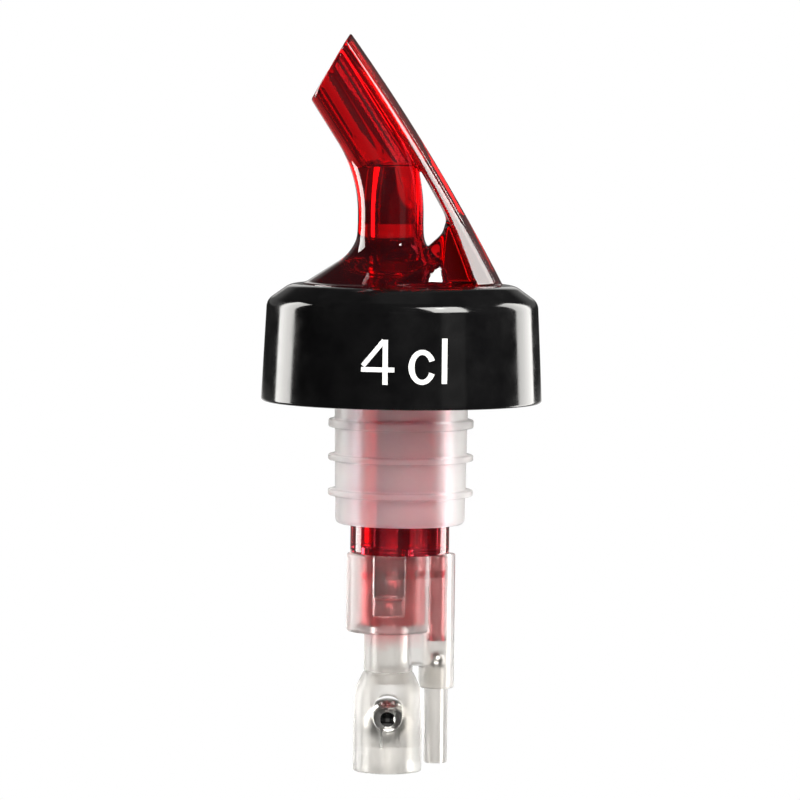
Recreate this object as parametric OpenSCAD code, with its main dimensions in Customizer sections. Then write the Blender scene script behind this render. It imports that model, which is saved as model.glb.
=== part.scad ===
// Measured liquor pourer: a leaning spout over a collar, a finned neck plug, and below it
// a valve body and a metering cup whose balls shut off the pour after one measure.
// The origin is on the plug's axis at the upper face of the top fin. The spout pours towards -X.

/* [Neck plug] */
// Outside diameter of the sealing fins
fin_d = 21.7; // [20.8:0.1:24]
// Diameter of the plug body at the top fin and above it
plug_d = 19.9; // [18:0.1:20.4]
// Diameter of the plug body at its lower end
plug_tip_d = 19.4; // [17.5:0.1:19.8]
// Length of the plug below the upper face of the top fin
plug_len = 15.6; // [13.5:0.1:22]
// Radius of the plug's rounded lower edge
plug_edge_r = 0.8; // [0.3:0.1:1.2]
// Thickness of the top fin at its rim
top_fin_t = 1.1; // [0.8:0.1:1.6]
// Thickness of each lower fin at its rim
fin_t = 0.8; // [0.6:0.1:1.2]
// Extra thickness of a fin at its root, above and below
fin_flare = 0.15; // [0.05:0.05:0.4]
// Distance from each fin to the next
fin_pitch = 5.25; // [3:0.05:5.8]
// Number of sealing fins
fin_count = 3; // [2:1:3]
// Outside diameter of the lip seal at the top of the plug
lip_d = 27; // [24:0.5:32]
// Thickness of the lip seal
lip_t = 1.6; // [1:0.1:3]

/* [Collar] */
// Outside diameter of the collar at its open rim
collar_d = 42; // [38:0.5:50]
// Outside diameter that the tapered side reaches at the top face
collar_top_d = 40.3; // [36:0.1:48]
// Height of the collar
collar_h = 17.5; // [14:0.5:24]
// Height of the collar's rim above the top fin
collar_lift = 2.7; // [1:0.1:6]
// Thickness of the collar's side wall
collar_wall = 1.6; // [1:0.1:2.4]
// Thickness of the collar's top under the spout's flange
collar_plate_t = 2; // [1.2:0.1:3]
// Radius of the rounded shoulder
shoulder_r = 4.6; // [2:0.1:6]
// How far the shoulder's arc would stand past the side, which leaves a soft corner there
shoulder_proud = 0.35; // [0.1:0.05:0.8]
// Depth of the recess that takes the spout's flange
flange_seat = 0.5; // [0.2:0.1:1]

/* [Spout head] */
// Diameter of the flange on top of the collar
flange_d = 29.8; // [27:0.2:31]
// Thickness of the flange
flange_t = 0.7; // [0.5:0.1:1.5]
// Place of the column's axis along X
column_x = -1.9; // [-2.3:0.1:-1.5]
// Outside diameter of the column and of the spout tube
column_d = 9.8; // [9.4:0.1:11]
// Height of the bend's start above the flange seat
bend_rise = 10.8; // [9.5:0.1:16]
// Radius of the bend along the tube's axis
bend_r = 24.9; // [18:0.1:40]
// Lean of the spout from upright
spout_lean = 32.6; // [24:0.2:42]
// Straight length of the spout past the bend, along its axis
spout_len = 10; // [7:0.5:20]
// Slope of the mouth from level
mouth_slope = 60; // [50:1:85]
// Diameter of the leaning pouring bore
spout_bore_d = 7; // [5:0.1:7.4]
// Diameter of the upright bore in the column
column_bore_d = 6.2; // [5:0.1:6.4]
// How far the upright bore runs past the point where the two bores meet
bore_overrun = 0.8; // [0:0.1:1.2]
// Depth of the head's plug inside the stem
head_plug_h = 2.5; // [1.5:0.1:5]
// Depth of the socket in the head's plug that takes the stem's liquid tube
tube_socket_h = 2; // [1:0.1:2.2]

/* [Skirt and strut] */
// Height of the skirt's flare above the flange seat
flare_rise = 9.3; // [7.5:0.1:10.5]
// Radius of the hollow flare between column and skirt
flare_r = 6.4; // [4.5:0.1:7]
// Slope of the skirt below its flare
skirt_slope = 33; // [25:1:38]
// Place along X where the skirt's two cut faces meet
skirt_cut_x = 6.6; // [4:0.1:9]
// Turn of each cut face from the front-to-back direction
skirt_cut_turn = 27.6; // [10:0.2:45]
// Distance from the spout's axis to the strut's back at the mouth
strut_back = 5.4; // [5.2:0.05:6.2]
// Bow of the strut's back from a straight line
strut_bow = 0.8; // [0.3:0.05:1.5]
// Thickness of the strut
strut_t = 3; // [2.4:0.1:4]
// Width of the strut's inner side at its foot
strut_foot_w = 10.8; // [8:0.1:13]
// Width of the strut's inner side at the mouth
strut_tip_w = 6.6; // [5:0.1:8]
// Width of the strut's back, from which its flanks slope to the inner side
strut_back_w = 3.1; // [2:0.1:5]
// Place along X of the inner edge of the strut's foot, at the flange
foot_x = 5.6; // [4.5:0.1:8]
// Thickness of the strut's foot
foot_t = 6.8; // [5:0.1:8]
// Thickness of the web between column and strut
web_t = 4.4; // [3:0.1:6]
// Diameter of the air hole along the strut
air_hole_d = 1.2; // [0.8:0.1:1.4]
// Depth of the air hole's axis below the strut's back at the mouth
air_hole_depth = 1; // [0.9:0.05:1.2]

/* [Window in the web] */
// Height of the window's lower end above the flange seat
window_low = 6.2; // [5:0.1:7]
// Height of the window's outer corner above the flange seat
window_mid = 9.4; // [8:0.1:11]
// Height of the window's upper end above the flange seat
window_high = 14.6; // [12:0.1:16]
// Width of the window at its outer corner, from the column
window_w = 3.1; // [2:0.1:3.6]
// Radius of the window's corners
window_r = 0.7; // [0.3:0.1:0.9]
// Width of the web's rim between the window's outer corner and the strut's foot
window_rim = 0.3; // [0.2:0.1:0.8]

/* [Stem] */
// Outside diameter of the stem
stem_d = 14.8; // [14:0.1:15.4]
// Wall of the stem
stem_wall = 1; // [0.8:0.1:1.4]
// Length of the stem below the plug
stem_drop = 4.4; // [2:0.1:10]
// Thickness of the stem's floor
stem_floor_t = 1; // [0.8:0.1:2]
// Place of the liquid tube, valve body and metering cup along X
valve_x = -1.5; // [-1.6:0.1:-1.4]
// Outside diameter of the liquid tube inside the stem
liquid_tube_d = 8.6; // [8:0.1:9]
// Bore of the liquid tube, on whose lower edge the flow ball stops
liquid_bore_d = 6.4; // [5.6:0.1:6.6]
// Place of the vent's axis along X
vent_x = 5.7; // [5.7:0.05:5.9]
// Outside diameter of the vent spigot
vent_spigot_d = 3.2; // [2.8:0.1:3.3]
// Bore of the vent spigot
vent_bore_d = 1.6; // [1:0.1:1.8]
// Length of the vent spigot below the stem
vent_spigot_len = 13.1; // [11:0.1:14]
// Outside diameter of the latched spigot below the stem
spigot_d = 9.8; // [9.4:0.1:10]
// Length of the latched spigot below the stem
spigot_len = 10.7; // [9.5:0.1:14]
// Bore of the chamber that the flow ball moves in
chamber_d = 7.4; // [7.2:0.1:7.8]
// Depth of the flow ball's stop below the stem
flow_stop_drop = 1; // [0.5:0.1:1.4]
// Number of flow grooves in the chamber's wall
groove_count = 4; // [3:1:6]
// Diameter of each flow groove
groove_d = 1.6; // [1:0.1:1.8]
// Width of each latch barb
barb_w = 4.1; // [3:0.1:5]
// Height of each latch barb
barb_h = 2.6; // [2:0.1:3]
// Height of a barb's centre above the spigot's end
barb_rise = 3.1; // [2.6:0.1:4]
// Reach of each barb past the spigot
barb_reach = 1.2; // [0.8:0.1:1.4]

/* [Valve body] */
// Outside diameter of the housing round the spigot
housing_d = 12.8; // [12.4:0.1:13.6]
// Thickness of the housing's floor
housing_floor_t = 1; // [0.8:0.1:2]
// Height of the flow ball's seat above the floor
flow_seat_h = 2.7; // [1.5:0.1:4]
// Diameter of the flow ball's seat boss
flow_seat_d = 7; // [6.2:0.1:7]
// Bore of the neck and of both ball seats
neck_bore_d = 4.6; // [3.6:0.1:5]
// Outside diameter of the neck
neck_d = 7.3; // [7:0.1:8]
// Length of the neck below the housing
neck_len = 6; // [4.5:0.1:9]
// Length of the plug at the neck's end, inside the cup
neck_plug_len = 1.6; // [1:0.1:2.2]
// Diameter of the plug at the neck's end
neck_plug_d = 6; // [5.6:0.1:6.4]
// Outside diameter of the vent sleeve
sleeve_d = 5.3; // [5:0.1:5.6]
// Length of the vent sleeve below the stem
sleeve_len = 20.2; // [19:0.1:21]
// Thickness of the rib between neck and vent sleeve
rib_t = 1.4; // [0.8:0.1:2]

/* [Metering cup] */
// Outside diameter of the cup
cup_d = 10.3; // [9.8:0.1:10.4]
// Height of the cup's cone below the neck
cup_cone_h = 3.05; // [2.8:0.05:4]
// Height of the cup below its cone
cup_h = 11.95; // [11:0.05:20]
// Bore of the cup, which the metering ball runs in
cup_bore_d = 7.2; // [7.1:0.05:7.4]
// Thickness of the plug that closes the cup
cup_plug_t = 3.8; // [2:0.1:4.5]
// Diameter of the timing hole through that plug
timing_hole_d = 0.8; // [0.4:0.1:2]
// Width of the cup's two side windows
cup_window_w = 4.3; // [3:0.1:5]
// Height of the cup's two side windows
cup_window_h = 5.4; // [5.1:0.1:6]
// Gap between the cone's lower edge and the windows
cup_window_drop = 0.15; // [0.1:0.05:1]
// Width of the timing slit below the front window
slit_w = 0.3; // [0.2:0.05:0.6]
// Offset of the timing slit from the cup's axis
slit_x = 0.9; // [0:0.1:1.5]

/* [Vent tube] */
// Outside diameter of the lower vent tube
vent_tube_d = 3.5; // [3:0.1:3.6]
// Bore of the lower vent tube
vent_tube_bore_d = 1.8; // [1.2:0.1:2]
// Length of the lower vent tube
vent_tube_len = 14.5; // [8:0.1:20]
// Length of the vent tube inside its sleeve
vent_tube_in = 3.2; // [2:0.1:4]

/* [Balls] */
// Diameter of the metering ball and of the flow ball
ball_d = 7; // [6.8:0.05:7]
// Diameter of the vent ball
vent_ball_d = 2.5; // [2.4:0.05:2.9]

/* [Fits] */
// Radial clearance between pieces that slide together and stay put
slip_fit = 0.05; // [0.02:0.01:0.08]
// Clearance of a ball from its seat and from its stop
ball_gap = 0.05; // [0.02:0.01:0.1]
// Gap left at the end of a spigot or a tube in its socket
end_gap = 0.1; // [0.05:0.05:0.3]
// Clearance of the latch barbs and of the cup from what they pass
side_gap = 0.2; // [0.1:0.05:0.3]

/* [Hidden] */
$fn = 96;

// Reach of a cutting shape past the faces that it cuts
over = 1;
// Length of a cutting shape that passes right through the whole part
through = 60;
// Depth to which one form runs into the next, so that the two join
sunk = 0.15;
// Depth by which the flare's arc stops short of its tangent, which leaves a faint crease there
crease = 0.05;

// Levels along Z, from the collar down to the cup's end
collar_top_z = collar_lift + collar_h;
seat_z = collar_top_z - flange_seat;
ceiling_z = seat_z - collar_plate_t;
stem_end_z = -plug_len - stem_drop;
spigot_end_z = stem_end_z - spigot_len;
housing_floor_z = spigot_end_z - end_gap;
housing_end_z = housing_floor_z - housing_floor_t;
flow_seat_z = housing_floor_z + flow_seat_h;
flow_stop_z = stem_end_z - flow_stop_drop;
neck_end_z = housing_end_z - neck_len;
meter_seat_z = neck_end_z - neck_plug_len;
cone_end_z = neck_end_z - cup_cone_h;
cup_end_z = cone_end_z - cup_h;
cup_floor_z = cup_end_z + cup_plug_t;
cup_window_z = cone_end_z - cup_window_drop - cup_window_h / 2;
vent_stop_z = stem_end_z - vent_spigot_len;
sleeve_end_z = stem_end_z - sleeve_len;
vent_seat_z = sleeve_end_z + vent_tube_in;
barb_z = spigot_end_z + barb_rise;
tube_top_z = seat_z - head_plug_h + tube_socket_h - end_gap;

// Height of a ball's centre over the round edge that it rests on
function ball_rise(ball, edge) = sqrt(ball * ball - edge * edge) / 2;
flow_ball_z = flow_seat_z + ball_rise(ball_d, neck_bore_d) + ball_gap;
metering_ball_z = cup_floor_z + ball_d / 2 + ball_gap;
vent_ball_z = vent_seat_z + ball_rise(vent_ball_d, vent_tube_bore_d) + ball_gap;
flow_travel = flow_stop_z - ball_rise(ball_d, liquid_bore_d) - ball_gap - flow_ball_z;
metering_travel = meter_seat_z - ball_rise(ball_d, neck_bore_d) - ball_gap - metering_ball_z;
vent_travel = vent_stop_z - ball_rise(vent_ball_d, vent_bore_d) - ball_gap - vent_ball_z;
echo(flow_travel = flow_travel, metering_travel = metering_travel, vent_travel = vent_travel);

// Points and directions of the spout in its own plane, as [x, z]
lean_dir = [-sin(spout_lean), cos(spout_lean)];
mouth_dir = [cos(mouth_slope), sin(mouth_slope)];
bend_centre = [column_x - bend_r, seat_z + bend_rise];
bend_end = bend_centre + bend_r * [cos(spout_lean), sin(spout_lean)];
mouth_mid = bend_end + spout_len * lean_dir;
bore_meet_z = bend_end[1] - (valve_x - bend_end[0]) / tan(spout_lean);
strut_foot = [flange_d / 2, seat_z + flange_t];
strut_tip = mouth_mid + strut_back / sin(90 - mouth_slope + spout_lean) * mouth_dir;
strut_len = norm(strut_tip - strut_foot);
strut_dir = (strut_tip - strut_foot) / strut_len;
strut_out = [strut_dir[1], -strut_dir[0]];
strut_lean = atan2(-strut_dir[0], strut_dir[1]);
strut_bow_r = (strut_len * strut_len / 4 + strut_bow * strut_bow) / (2 * strut_bow);
strut_bow_centre = (strut_foot + strut_tip) / 2 - (strut_bow_r - strut_bow) * strut_out;
window_x = column_x + column_d / 2;
// Point inside the strut at a depth below its back, at a level
function strut_at(depth, z) =
    let (low = strut_foot - depth * strut_out)
    low + (z - low[1]) / strut_dir[1] * strut_dir;
air_foot = strut_at(strut_t / 2, seat_z);
air_tip = strut_tip - air_hole_depth * strut_out;
air_dir = (air_tip - air_foot) / norm(air_tip - air_foot);

red = [0.72, 0.05, 0.06, 0.85];
black = [0.05, 0.05, 0.055];
frosted = [0.88, 0.86, 0.85, 0.7];
soft_frosted = [0.9, 0.84, 0.84, 0.8];
steel = [0.72, 0.72, 0.72];

// A round bar about the Z axis between two levels
module rod(d, low, high) {
    translate([0, 0, low])
        cylinder(d = d, h = high - low);
}

// A slab of the XZ plane's outline, centred on that plane
module upright_slab(t) {
    rotate([90, 0, 0])
        linear_extrude(height = t, center = true)
            children();
}

module at_valve() {
    translate([valve_x, 0, 0])
        children();
}

module at_vent() {
    translate([vent_x, 0, 0])
        children();
}

// Everything above the point of the spout's plane moves to that point and leans with it
module leaning(point, lean) {
    translate([point[0], 0, point[1]])
        rotate([0, -lean, 0])
            children();
}

// Upright column, and the leaning tube with the bend below it
module spout_tube() {
    translate([column_x, 0, 0])
        rod(column_d, seat_z, bend_centre[1]);
    leaning(bend_end, spout_lean) {
        rod(column_d, 0, spout_len + column_d);
        translate([-bend_r, 0, 0])
            rotate([-90, 0, 0])
                rotate_extrude(angle = spout_lean)
                    translate([bend_r, 0])
                        circle(d = column_d);
    }
}

// Flared skirt round the column, with two upright cut faces that meet towards the strut
module skirt() {
    reach = flange_d / 2 + column_x - sunk;
    centre = [column_d / 2 - sunk + flare_r, seat_z + flare_rise];
    foot = centre - (flare_r - crease) * [sin(skirt_slope), cos(skirt_slope)];
    edge_z = foot[1] - (reach - foot[0]) * tan(skirt_slope);
    cut_end = through * [sin(skirt_cut_turn), cos(skirt_cut_turn)];
    intersection() {
        translate([column_x, 0, 0])
            rotate_extrude()
                difference() {
                    polygon([
                        [0, seat_z], [reach, seat_z], [reach, edge_z], foot, centre,
                        [centre[0] - flare_r, centre[1]], [0, centre[1]]
                    ]);
                    translate(centre)
                        circle(r = flare_r);
                }
        rod(flange_d - 2 * sunk, seat_z, centre[1]);
        translate([skirt_cut_x, 0, 0])
            linear_extrude(height = through)
                polygon([
                    [0, 0], [-cut_end[0], -cut_end[1]], [-through, -through],
                    [-through, through], [-cut_end[0], cut_end[1]]
                ]);
    }
}

// Bowed strut from the flange's edge to the mouth, with sloping flanks and a tapering inner side
module strut() {
    sweep = 2 * asin((strut_len / 2 + over) / strut_bow_r);
    intersection() {
        translate([strut_bow_centre[0], 0, strut_bow_centre[1]])
            rotate([90, sweep / 2 - strut_lean, 0])
                rotate_extrude(angle = sweep, $fn = 720)
                    polygon([
                        [strut_bow_r - strut_t, -strut_foot_w / 2], [strut_bow_r, -strut_back_w / 2],
                        [strut_bow_r, strut_back_w / 2], [strut_bow_r - strut_t, strut_foot_w / 2]
                    ]);
        leaning(strut_foot, strut_lean)
            translate([-through / 2, 0, -over])
                rotate([90, 0, 90])
                    linear_extrude(height = through)
                        polygon([
                            [-strut_foot_w / 2, -over], [strut_foot_w / 2, -over],
                            [strut_tip_w / 2, strut_len + 2 * over],
                            [-strut_tip_w / 2, strut_len + 2 * over]
                        ]);
        rod(flange_d - sunk, seat_z, through + seat_z);
    }
}

// Three-cornered foot that widens the strut towards the flange, up to the window's outer corner
module foot() {
    low_z = seat_z + flange_t / 2;
    high_z = seat_z + window_mid;
    depth = strut_t / 2 + sunk;
    upright_slab(foot_t)
        polygon([
            [foot_x, low_z], strut_at(depth, low_z), strut_at(depth, high_z),
            [window_x + window_w + window_rim, high_z]
        ]);
}

// Web between column and strut, with its see-through window
module web() {
    wall = column_d / 2 - window_r;
    high_end = bend_end + wall * [cos(spout_lean), sin(spout_lean)] + over * lean_dir;
    difference() {
        upright_slab(web_t)
            polygon([
                [column_x + wall, seat_z], strut_at(strut_t / 2, seat_z),
                strut_at(strut_t / 2, strut_tip[1]), high_end, [column_x + wall, bend_centre[1]]
            ]);
        upright_slab(web_t + over)
            hull() {
                translate([window_x - window_r, seat_z + window_low + window_r])
                    circle(r = window_r, $fn = 32);
                translate([window_x + window_w - window_r, seat_z + window_mid])
                    circle(r = window_r, $fn = 32);
                translate([window_x - window_r, seat_z + window_high - window_r])
                    circle(r = window_r, $fn = 32);
            }
    }
}

module spout_head() {
    color(red) difference() {
        union() {
            rod(flange_d, seat_z, seat_z + flange_t);
            spout_tube();
            skirt();
            strut();
            foot();
            web();
            rod(stem_d - 2 * stem_wall - 2 * slip_fit, seat_z - head_plug_h, seat_z + sunk);
        }
        // Mouth, cut off along its slope
        translate([mouth_mid[0], 0, mouth_mid[1]])
            rotate([0, 90 - mouth_slope, 0])
                translate([-through, -through / 2, -through / 2])
                    cube(through);
        // Pouring channel
        at_valve()
            rod(column_bore_d, seat_z - head_plug_h - over, bore_meet_z + bore_overrun);
        at_valve()
            rod(liquid_tube_d + 2 * slip_fit, seat_z - head_plug_h - over,
                seat_z - head_plug_h + tube_socket_h);
        leaning([valve_x, bore_meet_z], spout_lean)
            rod(spout_bore_d, 0, through);
        // Air channel along the strut, and the groove that leads it to the vent
        leaning(air_foot, atan2(-air_dir[0], air_dir[1]))
            rod(air_hole_d, -over, through);
        translate([vent_x - vent_bore_d / 2, -vent_bore_d / 2, seat_z - over])
            cube([air_foot[0] - vent_x + vent_bore_d / 2, vent_bore_d, over + air_hole_d]);
        at_vent()
            rod(vent_spigot_d + 2 * slip_fit, seat_z - head_plug_h - over, seat_z);
    }
}

// Wedge on the spigot's back that snaps into the housing's latch window
module barb() {
    root = spigot_d / 2 - over;
    rotate([90, 0, 90])
        linear_extrude(height = barb_w, center = true)
            polygon([
                [root, barb_z - barb_h / 2], [spigot_d / 2, barb_z - barb_h / 2],
                [spigot_d / 2 + barb_reach, barb_z + barb_h / 2], [root, barb_z + barb_h / 2]
            ]);
}

module stem() {
    groove_ring = chamber_d / 2 - sunk;
    color(red) difference() {
        union() {
            difference() {
                rod(stem_d, stem_end_z, seat_z);
                rod(stem_d - 2 * stem_wall, stem_end_z + stem_floor_t, seat_z + over);
            }
            at_valve() {
                rod(liquid_tube_d, stem_end_z, tube_top_z);
                rod(spigot_d, spigot_end_z, stem_end_z + stem_floor_t / 2);
                for (turn = [0, 180])
                    rotate([0, 0, turn])
                        barb();
            }
            at_vent()
                rod(vent_spigot_d, vent_stop_z, seat_z);
        }
        at_valve() {
            rod(liquid_bore_d, flow_stop_z - over, tube_top_z + over);
            rod(chamber_d, spigot_end_z - over, flow_stop_z);
            for (i = [0 : groove_count - 1])
                rotate([0, 0, 45 + i * 360 / groove_count])
                    translate([groove_ring, 0, 0])
                        rod(groove_d, flow_seat_z, stem_end_z + stem_floor_t / 2);
        }
        at_vent()
            rod(vent_bore_d, vent_stop_z - over, seat_z + over);
    }
}

module collar() {
    rim_r = collar_d / 2;
    top_r = collar_top_d / 2;
    shoulder = [top_r + shoulder_proud - shoulder_r, collar_top_z - shoulder_r];
    color(black) difference() {
        rotate_extrude()
            intersection() {
                polygon([
                    [0, collar_lift], [rim_r, collar_lift], [top_r, collar_top_z], [0, collar_top_z]
                ]);
                union() {
                    translate(shoulder)
                        circle(r = shoulder_r);
                    square([shoulder[0], collar_top_z]);
                    square([rim_r + over, shoulder[1]]);
                }
            }
        rotate_extrude()
            polygon([
                [0, collar_lift - over], [rim_r - collar_wall, collar_lift - over],
                [rim_r - collar_wall, collar_lift], [top_r - collar_wall, ceiling_z], [0, ceiling_z]
            ]);
        rod(flange_d + 2 * slip_fit, seat_z, collar_top_z + over);
        rod(stem_d + 2 * slip_fit, ceiling_z - over, seat_z + over);
    }
}

// Half section of one sealing fin, with its upper face at the given level
module fin_section(top, t) {
    root = plug_tip_d / 2 - over;
    polygon([
        [root, top + fin_flare], [fin_d / 2, top], [fin_d / 2, top - t], [root, top - t - fin_flare]
    ]);
}

module stopper() {
    tip_r = plug_tip_d / 2;
    edge = [tip_r - plug_edge_r + sunk, plug_edge_r - plug_len];
    color(soft_frosted) difference() {
        union() {
            rotate_extrude()
                intersection() {
                    polygon([
                        [0, -plug_len], [tip_r, -plug_len], [plug_d / 2, 0],
                        [plug_d / 2, ceiling_z], [0, ceiling_z]
                    ]);
                    union() {
                        translate(edge)
                            circle(r = plug_edge_r);
                        translate([0, -plug_len])
                            square([edge[0], plug_len + ceiling_z]);
                        translate([0, edge[1]])
                            square([plug_d, ceiling_z - edge[1]]);
                    }
                }
            rod(lip_d, ceiling_z - lip_t, ceiling_z);
            rotate_extrude()
                fin_section(0, top_fin_t);
            for (i = [1 : fin_count - 1])
                rotate_extrude()
                    fin_section(-i * fin_pitch, fin_t);
        }
        rod(stem_d + 2 * slip_fit, -plug_len - over, ceiling_z + over);
    }
}

// Latch window in the housing's back wall, with the groove that leads the barb to it
module latch_opening() {
    w = barb_w + 2 * side_gap;
    h = barb_h + 2 * side_gap;
    translate([-w / 2, 0, barb_z - h / 2])
        cube([w, housing_d, h]);
    translate([-w / 2, 0, barb_z])
        cube([w, (spigot_d + barb_reach) / 2, stem_end_z + over - barb_z]);
}

module valve_body() {
    clear_d = 2 * side_gap;
    color(frosted) difference() {
        union() {
            at_valve() {
                difference() {
                    rod(housing_d, housing_end_z, stem_end_z);
                    rod(spigot_d + 2 * slip_fit, housing_floor_z, stem_end_z + over);
                    for (turn = [0, 180])
                        rotate([0, 0, turn])
                            latch_opening();
                }
                rod(flow_seat_d, housing_end_z + housing_floor_t / 2, flow_seat_z);
                rod(neck_d, neck_end_z, housing_end_z + housing_floor_t / 2);
                rod(neck_plug_d, meter_seat_z, neck_end_z + over);
            }
            difference() {
                at_vent()
                    rod(sleeve_d, sleeve_end_z, stem_end_z);
                at_valve()
                    rod(spigot_d + 2 * slip_fit, housing_floor_z, stem_end_z + over);
                at_valve()
                    translate([0, 0, cone_end_z])
                        cylinder(d1 = cup_d + clear_d, d2 = neck_d + clear_d, h = cup_cone_h);
            }
            translate([valve_x, -rib_t / 2, neck_end_z + over])
                cube([vent_x - valve_x, rib_t, housing_end_z - neck_end_z - over / 2]);
        }
        at_valve()
            rod(neck_bore_d, meter_seat_z - over, flow_seat_z + over);
        at_vent()
            rod(vent_tube_d + 2 * slip_fit, sleeve_end_z - over, stem_end_z + over);
    }
}

// Round-ended upright slot through both walls of the cup
module cup_window() {
    half = (cup_window_h - cup_window_w) / 2;
    upright_slab(cup_d + over)
        union() {
            for (rise = [-half, half])
                translate([0, cup_window_z + rise])
                    circle(d = cup_window_w);
            translate([-cup_window_w / 2, cup_window_z - half])
                square([cup_window_w, 2 * half]);
        }
}

module metering_cup() {
    color(frosted) at_valve() difference() {
        union() {
            rod(cup_d, cup_end_z, cone_end_z);
            translate([0, 0, cone_end_z])
                cylinder(d1 = cup_d, d2 = neck_d, h = cup_cone_h);
        }
        rod(cup_bore_d, cup_end_z - over, meter_seat_z - slip_fit);
        rod(neck_plug_d + 2 * slip_fit, meter_seat_z - over, neck_end_z + over);
        cup_window();
        translate([-slit_x - slit_w / 2, -cup_d, cup_floor_z])
            cube([slit_w, cup_d, cup_window_z - cup_floor_z]);
    }
}

module cup_plug() {
    color(frosted) at_valve() difference() {
        rod(cup_bore_d - 2 * slip_fit, cup_end_z, cup_floor_z);
        rod(timing_hole_d, cup_end_z - over, cup_floor_z + over);
    }
}

module vent_tube() {
    color(frosted) at_vent() difference() {
        rod(vent_tube_d, vent_seat_z - vent_tube_len, vent_seat_z);
        rod(vent_tube_bore_d, vent_seat_z - vent_tube_len - over, vent_seat_z + over);
    }
}

module flow_ball() {
    color(steel) translate([valve_x, 0, flow_ball_z])
        sphere(d = ball_d);
}

module metering_ball() {
    color(steel) translate([valve_x, 0, metering_ball_z])
        sphere(d = ball_d);
}

module vent_ball() {
    color(steel) translate([vent_x, 0, vent_ball_z])
        sphere(d = vent_ball_d);
}

spout_head();
stem();
collar();
stopper();
valve_body();
metering_cup();
cup_plug();
vent_tube();
flow_ball();
metering_ball();
vent_ball();
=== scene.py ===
import itertools
import math

import bpy
import numpy as np
from mathutils import Matrix, Vector


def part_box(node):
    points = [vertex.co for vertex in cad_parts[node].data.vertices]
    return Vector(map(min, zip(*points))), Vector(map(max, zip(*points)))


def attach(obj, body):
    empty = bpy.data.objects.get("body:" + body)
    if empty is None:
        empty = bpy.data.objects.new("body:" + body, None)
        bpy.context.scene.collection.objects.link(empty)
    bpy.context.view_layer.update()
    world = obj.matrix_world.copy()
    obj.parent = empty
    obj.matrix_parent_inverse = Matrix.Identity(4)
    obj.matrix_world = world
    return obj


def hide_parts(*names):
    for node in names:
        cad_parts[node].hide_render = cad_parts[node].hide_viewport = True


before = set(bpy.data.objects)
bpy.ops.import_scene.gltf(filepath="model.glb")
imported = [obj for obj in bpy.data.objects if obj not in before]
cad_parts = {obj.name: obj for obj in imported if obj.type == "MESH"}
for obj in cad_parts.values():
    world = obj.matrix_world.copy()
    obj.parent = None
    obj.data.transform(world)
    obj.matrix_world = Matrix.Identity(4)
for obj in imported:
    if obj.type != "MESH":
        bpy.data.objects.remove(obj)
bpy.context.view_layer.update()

# Visual model of the measured pourer. Lengths here are in millimetres and angles in degrees;
# meshes go to Blender in metres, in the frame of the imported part.
MM = 0.001


def span(node):
    """Lowest and highest corner of a CAD node."""
    low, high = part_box(node)
    return np.array(low) / MM, np.array(high) / MM


def ends(node, axis):
    """Lowest and highest value of a CAD node along an axis, to a tenth of a micrometre."""
    return [round(float(corner["xyz".index(axis)]), 4) for corner in span(node)]


def middle(node):
    """Place along X of an upright round CAD node's axis, and the node's radius."""
    low, high = ends(node, "x")
    return round((low + high) / 2, 4), round((high - low) / 2, 4)


def turned(degrees):
    """Cosine and sine of an angle."""
    return math.cos(math.radians(degrees)), math.sin(math.radians(degrees))


# Levels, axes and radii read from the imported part
RIM_Z, COLLAR_TOP_Z = ends("collar", "z")
HEAD_PLUG_END_Z = ends("spout_head", "z")[0]
VENT_STOP_Z, SEAT_Z = ends("stem", "z")
PLUG_END_Z, PLUG_TOP_Z = ends("stopper", "z")
SLEEVE_END_Z, STEM_END_Z = ends("valve_body", "z")
CUP_END_Z, NECK_END_Z = ends("metering_cup", "z")
CUP_FLOOR_Z = ends("cup_plug", "z")[1]
PIPE_END_Z, PIPE_TOP_Z = ends("vent_tube", "z")
RIM_R = ends("collar", "x")[1]
FLANGE_R = ends("spout_head", "x")[1]
STEM_R = ends("stem", "x")[1]
LIP_R = ends("stopper", "x")[1]
HOUSING_R = ends("valve_body", "y")[1]
VALVE_X, CUP_R = middle("metering_cup")
VENT_X, PIPE_R = middle("vent_tube")
CUP_PLUG_R = middle("cup_plug")[1]
SLEEVE_R = round(ends("valve_body", "x")[1] - VENT_X, 4)

# Sizes inside the part that several pieces or materials share
SLIP = 0.05
CUTTER_OVERRUN = 4.0
CUTTER_LAP = 1.0
SPIGOT_END_Z = STEM_END_Z - 10.7
HOUSING_FLOOR_Z = SPIGOT_END_Z - 0.1
HOUSING_END_Z = HOUSING_FLOOR_Z - 1.0
FLOW_STOP_Z = STEM_END_Z - 1.0
FLOW_SEAT_Z = HOUSING_FLOOR_Z + 2.7
METER_SEAT_Z = NECK_END_Z - 1.6
BARB_Z = SPIGOT_END_Z + 3.1
BORE_R = STEM_R + SLIP
LIQUID_TUBE_R = 4.3
VENT_SHANK_R = 1.6
NECK_PLUG_R = 3.0
PIPE_BORE_R = 0.9
RING_R, RING_LOW_Z, RING_HIGH_Z = 4.9, -23.6, -22.6
ROOM_R = RING_R + SLIP


# Fields: each is negative inside its solid, positive outside, and close to a distance near the surface
def blend_min(a, b, soft):
    """Union of two fields with a corner rounded over about soft."""
    h = np.maximum(soft - np.abs(a - b), 0) / soft
    return np.minimum(a, b) - h * h * soft / 4


def blend_max(a, b, soft):
    """Intersection of two fields with an edge rounded over about soft."""
    return -blend_min(-a, -b, soft)


def bar(x, y, z, centre_x, radius, low, high, soft):
    """Upright round bar with softened ends."""
    side = np.hypot(x - centre_x, y) - radius
    return blend_max(side, np.abs(z - (low + high) / 2) - (high - low) / 2, soft)


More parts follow.
